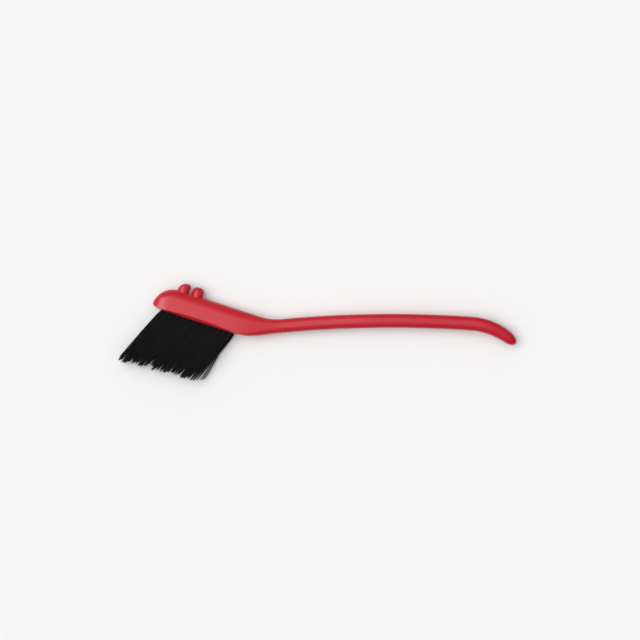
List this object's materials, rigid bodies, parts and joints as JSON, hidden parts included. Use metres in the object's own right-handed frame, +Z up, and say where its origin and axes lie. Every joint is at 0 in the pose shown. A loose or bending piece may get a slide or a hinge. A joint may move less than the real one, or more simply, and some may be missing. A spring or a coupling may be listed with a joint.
{
  "type": "crevice brush",
  "caption": "Slim hand brush for crevices: a curved plastic handle and a tilted narrow head with a field of long forward-leaning bristles and domed studs on its back.",
  "frame": {"origin": "middle of the underside of the whole brush's box, with the brush lying on its side", "axes": "+X along the brush towards the handle's end, +Y towards the back of the brush, where the studs are, +Z up, across the brush's width"},
  "size_m": [0.3298, 0.08, 0.016],
  "materials": {
    "red_plastic": "satin moulded plastic, coloured through",
    "stud_plastic": "satin moulded plastic, coloured through",
    "bristle": "drawn black filament",
    "anchor_steel": "bright flat wire"
  },
  "bodies": {
    "root": {"brush_body": "red_plastic", "stud_front": "stud_plastic", "stud_rear": "stud_plastic", "tuft_anchors": "anchor_steel", "tuft_near_01": "bristle", "tuft_near_02": "bristle", "tuft_near_03": "bristle", "tuft_near_04": "bristle", "tuft_near_05": "bristle", "tuft_near_06": "bristle", "tuft_near_07": "bristle", "tuft_near_08": "bristle", "tuft_near_09": "bristle", "tuft_near_10": "bristle", "tuft_near_11": "bristle", "tuft_near_12": "bristle", "tuft_near_13": "bristle", "tuft_near_14": "bristle", "tuft_far_01": "bristle", "tuft_far_02": "bristle", "tuft_far_03": "bristle", "tuft_far_04": "bristle", "tuft_far_05": "bristle", "tuft_far_06": "bristle", "tuft_far_07": "bristle", "tuft_far_08": "bristle", "tuft_far_09": "bristle", "tuft_far_10": "bristle", "tuft_far_11": "bristle", "tuft_far_12": "bristle", "tuft_far_13": "bristle", "tuft_far_14": "bristle"}
  },
  "joints": []
}
